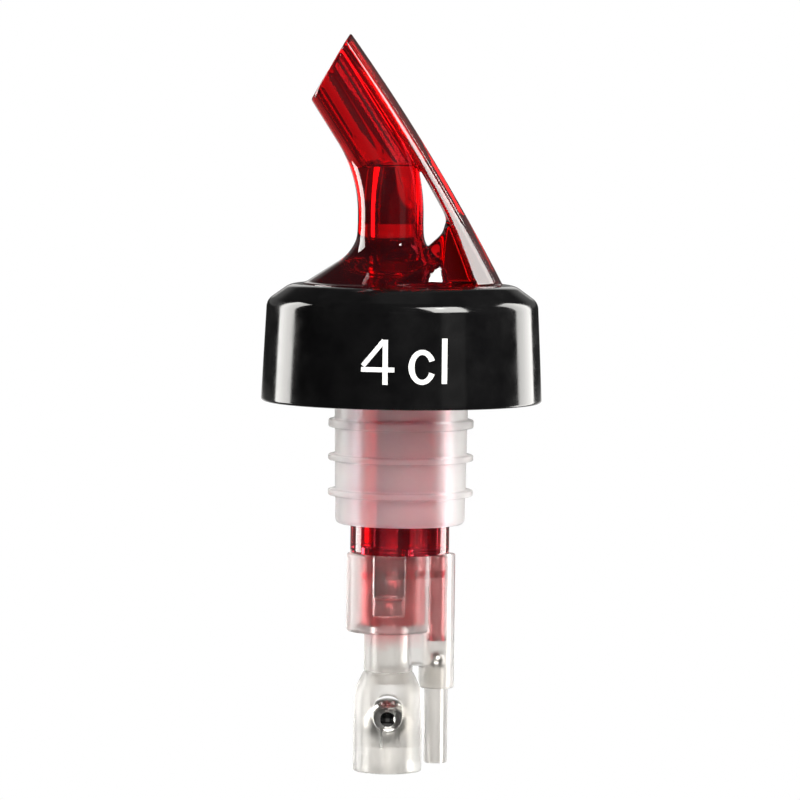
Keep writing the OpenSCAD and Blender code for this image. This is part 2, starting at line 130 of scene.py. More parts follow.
def half_plane(x, z, a, b):
    """Distance to the line from a to b in the XZ plane, positive on its left."""
    dx, dz = b[0] - a[0], b[1] - a[1]
    return ((z - a[1]) * dx - (x - a[0]) * dz) / math.hypot(dx, dz)


# Meshes from fields
SLOPE_STEP = 0.002
LEAST_SLOPE_SQUARED = 0.05
LEAST_LENGTH = 1e-9
MARGIN_CELLS = 2


def gradient(field, p):
    """Slope of a field at points, by differences."""
    g = np.empty_like(p)
    for axis in range(3):
        ahead, behind = p.copy(), p.copy()
        ahead[:, axis] += SLOPE_STEP
        behind[:, axis] -= SLOPE_STEP
        g[:, axis] = (field(*ahead.T) - field(*behind.T)) / (2 * SLOPE_STEP)
    return g


def settle(field, p, reach, rounds):
    """Points moved on to the zero level of a field, none further than reach in a round."""
    for _ in range(rounds):
        g = gradient(field, p)
        move = g * (field(*p.T) / np.maximum((g * g).sum(1), LEAST_SLOPE_SQUARED))[:, None]
        length = np.linalg.norm(move, axis=1)
        p = p - move * np.minimum(1, reach / np.maximum(length, LEAST_LENGTH))[:, None]
    return p


def evened(p, quads, share):
    """Each point moved part of the way to the mean of its neighbours, which evens out the faces."""
    total, count = np.zeros_like(p), np.zeros(len(p))
    for i in range(4):
        a, b = quads[:, i], quads[:, (i + 1) % 4]
        for here, there in ((a, b), (b, a)):
            for axis in range(3):
                total[:, axis] += np.bincount(here, p[there, axis], len(p))
            count += np.bincount(here, minlength=len(p))
    return p + share * (total / np.maximum(count, 1)[:, None] - p)


def skin(field, low, high, pitch):
    """Points and quads of a field's zero level: one point in each cell that the surface crosses."""
    axes = [
        np.arange(a - MARGIN_CELLS * pitch, b + (MARGIN_CELLS + 1) * pitch, pitch)
        for a, b in zip(low, high)
    ]
    grid = np.meshgrid(*axes, indexing="ij", sparse=True)
    value = np.ascontiguousarray(np.broadcast_to(field(*grid), [len(a) for a in axes]))
    inside = value < 0
    corners = list(itertools.product((0, 1), repeat=3))
    cells = [len(a) - 1 for a in axes]

    def shifted(array, corner):
        return array[tuple(slice(c, c + n) for c, n in zip(corner, cells))]

    filled = sum(shifted(inside, c).astype(np.int8) for c in corners)
    crossed = (filled > 0) & (filled < 8)
    number = np.full(cells, -1)
    number[crossed] = np.arange(crossed.sum())
    cell = np.argwhere(crossed)
    total, count = np.zeros(cell.shape), np.zeros(len(cell))
    for a, b in itertools.combinations(corners, 2):
        if sum(abs(i - j) for i, j in zip(a, b)) != 1:
            continue
        here, there = cell + a, cell + b
        start, end = value[tuple(here.T)], value[tuple(there.T)]
        cut = (start < 0) != (end < 0)
        part = (start[cut] / (start[cut] - end[cut]))[:, None]
        total[cut] += here[cut] + part * (there[cut] - here[cut])
        count[cut] += 1
    origin = np.array([a[0] for a in axes])
    points = origin + pitch * total / count[:, None]
    step = np.eye(3, dtype=int)
    quads = []
    for axis in range(3):
        u, v = (axis + 1) % 3, (axis + 2) % 3
        near = tuple(slice(0, n - (1 if i == axis else 0)) for i, n in enumerate(value.shape))
        far = tuple(slice(1 if i == axis else 0, n) for i, n in enumerate(value.shape))
        for leaving in (True, False):
            change = (inside[near] & ~inside[far]) if leaving else (~inside[near] & inside[far])
            edge = np.argwhere(change)
            ring = [edge - step[u] - step[v], edge - step[v], edge, edge - step[u]]
            face = np.stack([number[tuple(c.T)] for c in ring], axis=1)
            quads.append(face if leaving else face[:, ::-1])
    quads = np.concatenate(quads)
    points = settle(field, points, reach=pitch / 2, rounds=3)
    for _ in range(2):
        points = settle(field, evened(points, quads, share=0.5), reach=pitch / 2, rounds=2)
    return points, quads


# Meshes from turned outlines
STRAIGHT_HALF = 89.9
MOST_OF_A_SIDE = 0.49


def rounded(outline, steps):
    """Closed outline of (r, z, corner radius) as points, each corner turned into an arc."""
    points = []
    count = len(outline)
    for i, (r, z, radius) in enumerate(outline):
        here = Vector((r, z))
        back = Vector(outline[i - 1][:2]) - here
        ahead = Vector(outline[(i + 1) % count][:2]) - here
        half = back.angle(ahead) / 2
        if radius <= 0 or half > math.radians(STRAIGHT_HALF):
            points.append((r, z))
            continue
        reach = radius / math.tan(half)
        reach = min(reach, MOST_OF_A_SIDE * back.length, MOST_OF_A_SIDE * ahead.length)
        radius = reach * math.tan(half)
        inward = (back.normalized() + ahead.normalized()).normalized()
        centre = here + inward * radius / math.sin(half)
        first = here + back.normalized() * reach - centre
        last = here + ahead.normalized() * reach - centre
        turn = first.angle_signed(last)
        for k in range(steps + 1):
            at = Matrix.Rotation(-turn * k / steps, 2) @ first + centre
            points.append((at.x, at.y))
    return points


def lathe(outline, centre_x, segments):
    """Points and quads of a closed outline turned about the upright line at centre_x."""
    outline = np.array(outline)
    turn = np.linspace(0, 2 * math.pi, segments, endpoint=False)
    r, z = outline[:, 0], outline[:, 1]
    points = np.stack([
        centre_x + np.outer(np.cos(turn), r), np.outer(np.sin(turn), r),
        np.broadcast_to(z, (segments, len(z)))
    ], axis=2).reshape(-1, 3)
    count = len(outline)
    i, j = np.meshgrid(np.arange(segments), np.arange(count), indexing="ij")
    ni, nj = (i + 1) % segments, (j + 1) % count
    quads = np.stack([i * count + j, ni * count + j, ni * count + nj, i * count + nj], axis=2)
    quads = quads.reshape(-1, 4)
    area = sum(
        outline[k - 1][0] * outline[k][1] - outline[k][0] * outline[k - 1][1] for k in range(count)
    )
    return points, quads if area > 0 else quads[:, ::-1]


# Pieces
def piece(name, points, faces, material, node=None):
    """Smooth mesh object on the pourer's body, standing for a CAD node if one is named."""
    mesh = bpy.data.meshes.new(name)
    mesh.from_pydata((np.asarray(points) * MM).tolist(), [], np.asarray(faces).tolist())
    mesh.validate()
    mesh.polygons.foreach_set("use_smooth", [True] * len(mesh.polygons))
    mesh.materials.append(material)
    thing = bpy.data.objects.new(name, mesh)
    bpy.context.scene.collection.objects.link(thing)
    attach(thing, "pourer")
    if node:
        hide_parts(node)
    return thing


def field_piece(name, field, node, material, pitch):
    """Piece made from a field, kept inside its CAD node's box."""
    low, high = span(node)
    points, quads = skin(field, low, high, pitch)
    return piece(name, np.clip(points, low, high), quads, material, node)


def turned_piece(name, outline, node, material, centre_x=0.0, segments=192, steps=6):
    """Piece made by turning a closed outline of (r, z, corner radius)."""
    points, quads = lathe(rounded(outline, steps), centre_x, segments)
    return piece(name, points, quads, material, node)


# Node trees
def grey(level):
    """A colour without hue."""
    return (level, level, level)


class Graph:
    """The node tree of a material or world, with helpers that add nodes and hand back their outputs."""

    def __init__(self, owner):
        owner.use_nodes = True
        self.nodes = owner.node_tree.nodes
        self.links = owner.node_tree.links

    def add(self, kind, **settings):
        node = self.nodes.new(kind)
        for key, value in settings.items():
            setattr(node, key, value)
        return node

    def put(self, value, socket):
        """A socket fed by an output, or set to a constant."""
        if isinstance(value, bpy.types.NodeSocket):
            self.links.new(value, socket)
        else:
            socket.default_value = value

    def axes(self, vector):
        """X, Y and Z of a vector."""
        node = self.add("ShaderNodeSeparateXYZ")
        self.links.new(vector, node.inputs["Vector"])
        return [node.outputs[axis] for axis in "XYZ"]

    def math(self, operation, *values):
        """Result of an operation on outputs or numbers."""
        node = self.add("ShaderNodeMath", operation=operation)
        for value, socket in zip(values, node.inputs):
            self.put(value, socket)
        return node.outputs["Value"]

    def between(self, value, low, high, start=0.3, end=0.7):
        """A value's stretch from start to end, spread over low to high."""
        node = self.add("ShaderNodeMapRange")
        for key, number in (("From Min", start), ("From Max", end), ("To Min", low), ("To Max", high)):
            node.inputs[key].default_value = number
        self.links.new(value, node.inputs["Value"])
        return node.outputs["Result"]

    def ramp(self, value, stops):
        """A colour by a value, with rising stops of (place, colour)."""
        node = self.add("ShaderNodeValToRGB")
        elements = node.color_ramp.elements
        for place, colour in stops[1:-1]:
            elements.new(place).color = (*colour, 1)
        for element, (place, colour) in ((elements[0], stops[0]), (elements[-1], stops[-1])):
            element.position = place
            element.color = (*colour, 1)
        self.links.new(value, node.inputs["Fac"])
        return node.outputs["Color"]

    def mix(self, share, a, b):
        """A colour between two, by a share."""
        node = self.add("ShaderNodeMix", data_type="RGBA")
        for value, key in ((share, "Factor"), (a, "A"), (b, "B")):
            self.put(value, node.inputs[key])
        return node.outputs["Result"]


class Finish(Graph):
    """A material with one Principled shader."""

    def __init__(self, name):
        self.material = bpy.data.materials.new(name)
        super().__init__(self.material)
        self.shader = self.nodes["Principled BSDF"]
        self.place = self.add("ShaderNodeTexCoord").outputs["Object"]

    def set(self, **sockets):
        for key, value in sockets.items():
            self.shader.inputs[key.replace("_", " ")].default_value = value

    def feed(self, value, socket):
        self.links.new(value, self.shader.inputs[socket])

    def noise(self, scale, detail, rough=0.55, stretch=(1, 1, 1)):
        """Noise with so many spots to the metre, squeezed along the axes by stretch."""
        mapping = self.add("ShaderNodeMapping")
        mapping.inputs["Scale"].default_value = stretch
        self.links.new(self.place, mapping.inputs["Vector"])
        node = self.add("ShaderNodeTexNoise")
        for key, number in (("Scale", scale), ("Detail", detail), ("Roughness", rough)):
            node.inputs[key].default_value = number
        self.links.new(mapping.outputs["Vector"], node.inputs["Vector"])
        return node.outputs["Fac"]

    def radius(self, axis_x):
        """Distance from the upright line at axis_x, in metres."""
        flat = self.add("ShaderNodeMapping")
        flat.inputs["Location"].default_value = (-axis_x * MM, 0, 0)
        flat.inputs["Scale"].default_value = (1, 1, 0)
        self.links.new(self.place, flat.inputs["Vector"])
        length = self.add("ShaderNodeVectorMath", operation="LENGTH")
        self.links.new(flat.outputs["Vector"], length.inputs[0])
        return length.outputs["Value"]

    def within(self, value, start, end):
        """Share from 0 to 1 of the way from start to end, both in millimetres."""
        return self.between(value, 0.0, 1.0, start * MM, end * MM)

    def tint(self, value, low, high, start=0.3, end=0.7):
        """A colour between two, by a value's stretch from start to end."""
        return self.ramp(value, ((start, low), (end, high)))

    def bump(self, value, height):
        node = self.add("ShaderNodeBump")
        node.inputs["Strength"].default_value = 1.0
        node.inputs["Distance"].default_value = height * MM
        self.links.new(value, node.inputs["Height"])
        self.feed(node.outputs["Normal"], "Normal")

    def moulded(self, flow):
        """The faint unevenness of a polished clear moulding."""
        self.feed(self.between(self.noise(900, 4.0), 0.0, 0.03), "Roughness")
        self.bump(flow, 0.012)


# Materials
RED_IOR = 1.53
FLOW_SCALE, FLOW_DETAIL, FLOW_STRETCH = 160, 2.0, (1.6, 1.6, 0.5)
RED_DENSITY = 900.0
# Count and turn of the upright bands of painted shade on the bare stem
PAINTED_STREAK_COUNT, PAINTED_STREAK_TURN = 10, 5.0
PALE_LOW_Z, PALE_HIGH_Z = -34.0, -14.0
# Radii and noise of the painted tint on the milky stopper's inner wall
MILK_INNER_R, MILK_OUTER_R, MILK_CLOUD = 7.2, 9.8, 0.4
# Levels, noise and depth into the wall of the frosted parts' painted red glow, and how much less rough
# they are there
PAINTED_GLOW_LOW_Z, PAINTED_GLOW_HIGH_Z, PAINTED_GLOW_CLOUD = -34.5, -30.5, 1.2
PAINTED_GLOW_WALL = 1.0
PAINTED_GLOW_ZONE_CLEARER = 0.12
# Frosted colour, and a lighter end colour that paints light on the cup below its floor
FROST_COLOUR, FROST_PAINTED_LIGHT_END_COLOUR = (0.90, 0.885, 0.865), (0.985, 0.975, 0.96)


def clear_red():
    """Clear red moulding: deep where it is thick, bright where it is thin."""
    f = Finish("clear_red")
    f.set(IOR=RED_IOR, Transmission_Weight=0.97, Specular_IOR_Level=0.62)
    flow = f.noise(FLOW_SCALE, FLOW_DETAIL, stretch=FLOW_STRETCH)
    f.feed(f.tint(flow, (0.74, 0.075, 0.115), (0.82, 0.09, 0.13)), "Base Color")
    f.moulded(flow)
    depth = f.add("ShaderNodeVolumeAbsorption")
    depth.inputs["Color"].default_value = (0.90, 0.05, 0.08, 1)
    depth.inputs["Density"].default_value = RED_DENSITY
    f.links.new(depth.outputs["Volume"], f.nodes["Material Output"].inputs["Volume"])
    return f.material


def stem_red():
    """Clear red of the thin-walled stem: upright bands of painted shade where it is bare, and pale
    spigots below it.
    """
    f = Finish("clear_red_stem")
    f.set(IOR=RED_IOR, Transmission_Weight=0.87, Specular_IOR_Level=0.5)
    flow = f.noise(FLOW_SCALE, FLOW_DETAIL, stretch=FLOW_STRETCH)
    x, y, z = f.axes(f.place)
    # The upright dark bands on the bare stem are painted shade, standing in for the dark streaks that
    # refraction shows in its walls
    turn = f.math("ARCTAN2", x, f.math("MULTIPLY", y, -1))
    painted_streak_wave = f.math("MULTIPLY_ADD", turn, PAINTED_STREAK_COUNT, -PAINTED_STREAK_COUNT * math.radians(PAINTED_STREAK_TURN))
    stripe = f.between(f.math("COSINE", painted_streak_wave), 0.0, 1.0, 0.25, 0.4)
    bare = f.between(z, 1.0, 0.0, (PLUG_END_Z - 0.2) * MM, PLUG_END_Z * MM)
    colour = f.tint(flow, (0.79, 0.055, 0.088), (0.87, 0.07, 0.103))
    colour = f.mix(f.math("MULTIPLY", stripe, bare), colour, (0.28, 0.015, 0.027, 1))
    # The ring and the vent spigot's tip keep the deep red
    levels = (
        (PALE_LOW_Z, 0), (VENT_STOP_Z + 0.4, 0), (VENT_STOP_Z + 0.6, 1),
        (RING_LOW_Z - 0.1, 1), (RING_LOW_Z, 0), (RING_HIGH_Z, 0), (RING_HIGH_Z + 0.1, 1),
        (STEM_END_Z - 0.3, 1), (STEM_END_Z - 0.1, 0), (PALE_HIGH_Z, 0)
    )
    height = PALE_HIGH_Z - PALE_LOW_Z
    pale = f.ramp(
        f.within(z, PALE_LOW_Z, PALE_HIGH_Z),
        [((level - PALE_LOW_Z) / height, grey(share)) for level, share in levels]
    )
    f.feed(f.mix(pale, colour, (0.74, 0.35, 0.36, 1)), "Base Color")
    f.moulded(flow)
    return f.material


def gloss_black():
    """Gloss black moulding with the faint unevenness of its polish."""
    f = Finish("gloss_black")
    f.set(IOR=1.5, Specular_IOR_Level=0.5)
    wear = f.noise(260, 6.0, 0.62)
    f.feed(f.tint(wear, (0.002, 0.002, 0.0022), (0.004, 0.004, 0.0042)), "Base Color")
    f.feed(f.between(wear, 0.07, 0.17), "Roughness")
    f.bump(f.noise(420, 3.0), 0.004)
    return f.material


def soft_milk():
    """Soft milky plug that lets the red stem glow through, with a painted tint on its inner wall that
    stands in for the stem's light scattered in it.
    """
    f = Finish("soft_milk")
    f.set(IOR=1.2, Transmission_Weight=0.89, Coat_Weight=0.3, Coat_IOR=1.4, Coat_Roughness=0.3)
    # The tint towards the inner wall is painted light, for the red stem's light scattered in the milk
    cloud = f.between(f.noise(220, 4.0), -MILK_CLOUD * MM, MILK_CLOUD * MM)
    wall = f.within(f.math("ADD", f.radius(0.0), cloud), MILK_INNER_R, MILK_OUTER_R)
    f.feed(f.tint(wall, (0.86, 0.82, 0.99), (0.985, 0.965, 0.95), 0.0, 1.0), "Base Color")
    f.feed(f.between(f.noise(700, 3.0), 0.46, 0.54), "Roughness")
    return f.material


def frosted(name, painted_light_end_colour):
    """Frosted translucent plastic, with a painted red glow on its upper inner walls that stands in for
    light from the red spigots inside.

    Beneath the level of the cup's floor it has the end colour, which for the cup is painted light:
    lighter where the solid plug fills it.
    """
    f = Finish(name)
    f.set(IOR=1.25, Transmission_Weight=0.985, Coat_Weight=0.35, Coat_IOR=1.45, Coat_Roughness=0.2)
    z = f.axes(f.place)[2]
    # A painted red glow on the inner walls of the upper housing and the vent sleeve fades out downwards;
    # it stands in for light from the red inside
    cloud = f.between(f.noise(260, 4.0), -PAINTED_GLOW_CLOUD * MM, PAINTED_GLOW_CLOUD * MM)
    height = f.within(f.math("ADD", z, cloud), PAINTED_GLOW_LOW_Z, PAINTED_GLOW_HIGH_Z)
    walls = [
        f.within(f.radius(axis_x), inner_r, inner_r + PAINTED_GLOW_WALL)
        for axis_x, inner_r in ((VALVE_X, ROOM_R), (VENT_X, PIPE_BORE_R))
    ]
    upper = f.tint(f.math("MINIMUM", *walls), (0.86, 0.42, 0.43), (0.97, 0.925, 0.92), 0.0, 1.0)
    # Below the cup's floor the end colour takes over; for the cup it is a lighter painted light
    above_floor = f.within(z, CUP_FLOOR_Z, CUP_FLOOR_Z + 0.2)
    lower = f.tint(above_floor, painted_light_end_colour, FROST_COLOUR, 0.0, 1.0)
    f.feed(f.mix(height, lower, upper), "Base Color")
    rough = f.between(f.noise(520, 4.0), 0.42, 0.52)
    f.feed(f.math("MULTIPLY_ADD", height, -PAINTED_GLOW_ZONE_CLEARER, rough), "Roughness")
    return f.material


def polished_steel():
    """Polished steel with fine marks from rolling."""
    f = Finish("polished_steel")
    f.set(Metallic=1.0)
    marks = f.noise(1400, 6.0, 0.6)
    f.feed(f.tint(marks, (0.60, 0.60, 0.59), (0.74, 0.735, 0.72)), "Base Color")
    f.feed(f.between(marks, 0.05, 0.14), "Roughness")
    return f.material


def white_print():
    """White pad print, a little uneven."""
    f = Finish("white_print")
    ink = f.noise(1600, 4.0)
    f.feed(f.tint(ink, (0.88, 0.88, 0.88), (0.96, 0.96, 0.955)), "Base Color")
    f.feed(f.between(ink, 0.35, 0.55), "Roughness")
    return f.material


RED, STEM_RED = clear_red(), stem_red()
BLACK, MILK = gloss_black(), soft_milk()
FROST = frosted("frosted", FROST_COLOUR)
CUP_FROST = frosted("frosted_measure", FROST_PAINTED_LIGHT_END_COLOUR)
STEEL, INK = polished_steel(), white_print()

# Spout head: column, bend, leaning spout and bores, with points (x, z) in its plane
HEAD_Z = SEAT_Z + 0.04
FLANGE_T = 0.7
COLUMN_X = -1.9
TUBE_R = 4.9
BEND_R = 24.9
BEND_Z = SEAT_Z + 10.8
LEAN = 32.6
SPOUT_LEN = 10.0
MOUTH_SLOPE = 60.0
SPOUT_BORE_R = 3.5
COLUMN_BORE_R = 3.1
BORE_OVERRUN = 0.8
RIPPLE = 0.022
RIPPLES = ((13, 0.4, 1.0), (21, 1.3, 0.8), (8, 2.2, 0.7))
HEAD_PLUG_R = 6.35
HEAD_SINK = 0.15
TUBE_SOCKET_Z = SEAT_Z - 0.5
VENT_SOCKET_Z = SEAT_Z + 0.9

# Flared skirt, with its cut faces as (x, y, turn)
FLARE_R = 6.4
FLARE_Z = SEAT_Z + 9.3
SKIRT_SLOPE = 33.0
SKIRT_CUTS = ((6.65, 0.0, 26.5), (3.1, 7.4, 44.0))

# Strut: facets of its back as a corner (u outwards, v sideways) and a tilt, then its flanks and foot
STRUT_BACK = 5.4
STRUT_BOW = 0.8
STRUT_FACETS = (((0.0, 0.0), 17.0), ((-0.82, 2.68), 21.0), ((-1.33, 4.0), 31.0))
STRUT_EDGE_TILT = 57.0
STRUT_EDGE_T = 0.3
STRUT_DEPTH = 2.2
STRUT_INSET = 0.1
FLANK_DEPTH = 0.66
FLANK_PART = 0.95
FLANK_FADE = 0.6
FOOT_PART = 0.30
FOOT_SPREAD = 6.0
FOOT_DEPTH = 2.0

# Web and foot between column and strut, the window through them, and the gusset beside the foot
BRACE_INSET = 1.2
WEB_HALF = 2.2
WINDOW_X = 1.6
WINDOW_TIP = (7.2, 29.1)
WINDOW_LOW = ((3.38, 25.62), WINDOW_TIP)
WINDOW_HIGH = (WINDOW_TIP, (4.18, 34.31))
FOOT_HALF = 3.4
FOOT_TOP_Z = WINDOW_TIP[1]
FOOT_FACE = ((5.6, 20.05), (6.4, FOOT_TOP_Z))
GUSSET_CORNER = (3.2, 7.1, 20.4)
GUSSET_SLOPE = (0.243, 0.869, 0.431)
GUSSET_TOP = ((3.2, 21.7), (5.6, 23.7))
GUSSET_BACK = ((5.7, 23.7), (6.4, 20.1))

# Places that follow from these sizes
lean_c, lean_s = turned(LEAN)
mouth_c, mouth_s = turned(MOUTH_SLOPE)
BEND_X = COLUMN_X - BEND_R
bend_end = np.array([BEND_X + BEND_R * lean_c, BEND_Z + BEND_R * lean_s])
mouth_mid = bend_end + SPOUT_LEN * np.array([-lean_s, lean_c])
bore_meet_z = bend_end[1] - (VALVE_X - bend_end[0]) / math.tan(math.radians(LEAN))
strut_foot = np.array([FLANGE_R, SEAT_Z + FLANGE_T])
strut_tip = mouth_mid + STRUT_BACK / turned(90 - MOUTH_SLOPE + LEAN)[1] * np.array([mouth_c, mouth_s])
strut_len = float(np.linalg.norm(strut_tip - strut_foot))
strut_dir = (strut_tip - strut_foot) / strut_len
strut_out = np.array([strut_dir[1], -strut_dir[0]])
bow_r = (strut_len ** 2 / 4 + STRUT_BOW ** 2) / (2 * STRUT_BOW)
bow_centre = (strut_foot + strut_tip) / 2 - (bow_r - STRUT_BOW) * strut_out


def across_spout(x, z):
    """Distance across the spout's path in its plane, to the right of it."""
    ahead = -(x - bend_end[0]) * lean_s + (z - bend_end[1]) * lean_c
    leaning = (x - bend_end[0]) * lean_c + (z - bend_end[1]) * lean_s
    bending = np.hypot(x - BEND_X, z - BEND_Z) - BEND_R
    return np.where(z < BEND_Z, x - COLUMN_X, np.where(ahead > 0, leaning, bending))


def skirt_field(x, y, z):
    """Flared skirt with its two upright cut faces."""
    slope_c, slope_s = turned(SKIRT_SLOPE)
    r = np.hypot(x - COLUMN_X, y)
    dr, dz = r - (TUBE_R - HEAD_SINK + FLARE_R), z - FLARE_Z
    flare = FLARE_R - np.hypot(dr, dz)
    slope = (dr + FLARE_R * slope_s) * slope_s + (dz + FLARE_R * slope_c) * slope_c
    on_arc = (dz < 0) & (np.arctan2(-dz, -dr) < math.radians(90 - SKIRT_SLOPE))
    body = np.maximum(np.where(on_arc, flare, slope), dz)
    body = np.maximum(body, np.hypot(x, y) - FLANGE_R + HEAD_SINK)
    for corner_x, corner_y, turn in SKIRT_CUTS:
        cut_c, cut_s = turned(turn)
        body = blend_max(body, (x - corner_x) * cut_c + (np.abs(y) - corner_y) * cut_s, soft=0.3)
    return blend_max(body, HEAD_Z - z, soft=0.2)


def strut_field(x, y, z):
    """Strut behind the spout, with flanks that run deeper at its foot, and how far out a point lies."""
    u = np.hypot(x - bow_centre[0], z - bow_centre[1]) - bow_r
    v = np.abs(y)
    part = ((x - strut_foot[0]) * strut_dir[0] + (z - strut_foot[1]) * strut_dir[1]) / strut_len
    flank = FLANK_DEPTH * np.clip((FLANK_PART - part) / FLANK_FADE, 0, 1)
    spread = FOOT_SPREAD * blend_max(FOOT_PART - part, 0 * part, soft=0.1)
    flank = np.minimum(flank + spread, FOOT_DEPTH)
    body = -np.inf
    for (corner_u, corner_v), tilt in STRUT_FACETS:
        tilt_c, tilt_s = turned(tilt)
        body = blend_max(body, (u - corner_u) * tilt_c + (v - corner_v) * tilt_s, soft=0.12)
    edge_u = corner_u - flank
    edge_v = corner_v + flank * tilt_c / tilt_s
    edge_c, edge_s = turned(STRUT_EDGE_TILT)
    body = blend_max(body, (u - edge_u) * edge_c + (v - edge_v) * edge_s, soft=0.12)
    body = blend_max(body, np.minimum(edge_u - STRUT_EDGE_T, -STRUT_DEPTH) - u, soft=0.2)
    body = blend_max(body, HEAD_Z - z, soft=0.2)
    return blend_max(body, np.hypot(x, y) - FLANGE_R + STRUT_INSET, soft=0.2), u


def brace_field(x, y, z):
    """Strut, the web that ties it to the column, and its foot with the gusset."""
    strut, u = strut_field(x, y, z)
    behind = u + BRACE_INSET
    window = blend_max(-half_plane(x, z, *WINDOW_LOW), -half_plane(x, z, *WINDOW_HIGH), soft=2.8)
    window = blend_max(window, WINDOW_X - x, soft=1.0)
    web = np.maximum(np.abs(y) - WEB_HALF, behind)
    web = np.maximum(web, np.maximum(-across_spout(x, z), HEAD_Z - z))
    web = blend_max(web, -window, soft=1.6)
    foot = blend_max(np.abs(y) - FOOT_HALF, half_plane(x, z, *FOOT_FACE), soft=0.3)
    foot = blend_max(foot, z - FOOT_TOP_Z, soft=0.6)
    foot = np.maximum(np.maximum(foot, behind), HEAD_Z - z)
    gusset = sum(
        (at - corner) * slope for at, corner, slope in zip((x, np.abs(y), z), GUSSET_CORNER, GUSSET_SLOPE)
    )
    gusset_top = np.maximum(GUSSET_CORNER[0] - x, half_plane(x, z, *GUSSET_TOP))
    gusset = blend_max(gusset, gusset_top, soft=0.1)
    gusset = np.maximum(gusset, np.maximum(half_plane(x, z, *GUSSET_BACK), HEAD_Z - z))
    foot = np.minimum(foot, gusset)
    return blend_min(blend_min(strut, foot, soft=0.4), web, soft=0.7)


def drawn_marks(turn):
    """Shallow lengthwise ripples that the core pin leaves on a bore's wall."""
    return RIPPLE * sum(share * np.sin(count * turn + start) for count, start, share in RIPPLES)


def head_bores(x, y, z):
    """Upright and leaning bore of the spout head, and apart from them the sockets in its underside."""
    bore_top = bore_meet_z + BORE_OVERRUN
    upright = bar(x, y, z, VALVE_X, COLUMN_BORE_R, SEAT_Z - CUTTER_OVERRUN, bore_top, soft=0.2)
    over = (x - VALVE_X) * lean_c + (z - bore_meet_z) * lean_s
    leaning = np.hypot(over, y) - SPOUT_BORE_R - drawn_marks(np.arctan2(y, over))
    leaning = np.maximum(leaning, bore_top - z)
    socket_low = SEAT_Z - CUTTER_OVERRUN
    socket = bar(x, y, z, VALVE_X, LIQUID_TUBE_R + SLIP, socket_low, TUBE_SOCKET_Z, soft=0.1)
    vent = bar(x, y, z, VENT_X, VENT_SHANK_R + SLIP, socket_low, VENT_SOCKET_Z, soft=0.1)
    return blend_min(upright, leaning, soft=0.15), np.minimum(socket, vent)


def head_field(x, y, z):
    """The whole spout head."""
    tube = np.maximum(np.hypot(across_spout(x, z), y) - TUBE_R, HEAD_Z - z)
    flange = bar(x, y, z, 0, FLANGE_R, HEAD_Z, SEAT_Z + FLANGE_T, soft=0.25)
    body = blend_min(tube, skirt_field(x, y, z), soft=0.3)
    body = blend_min(body, flange, soft=0.25)
    head = blend_min(body, brace_field(x, y, z), soft=0.4)
    mouth = -(x - mouth_mid[0]) * mouth_s + (z - mouth_mid[1]) * mouth_c
    head = blend_max(head, mouth, soft=0.35)
    head_plug = bar(x, y, z, 0, HEAD_PLUG_R, HEAD_PLUG_END_Z, SEAT_Z + HEAD_SINK, soft=0.2)
    bore, sockets = head_bores(x, y, z)
    head = blend_max(np.minimum(head, head_plug), -bore, soft=0.25)
    return np.maximum(head, -sockets)


field_piece("clear_spout", head_field, "spout_head", RED, pitch=0.24)

# Stem
STEM_FLATS = 13
STEM_FLATS_R = 6.3
STEM_FLOOR_T = 1.0
STEM_JOIN = 0.5
TUBE_TOP_GAP = 0.6
LIQUID_BORE_R = 3.2
SPIGOT_R = 4.5
CHAMBER_R = 3.7
BARB_HALF_W, BARB_HALF_H = 2.05, 1.3
BARB_ROOT, BARB_START, BARB_REACH = 3.9, 4.9, 1.2
VENT_SHANK_DROP = 0.3
VENT_SPIGOT_R = 1.35
VENT_TIP_R, VENT_TIP_H = 1.7, 0.45
AIR_R = 0.8


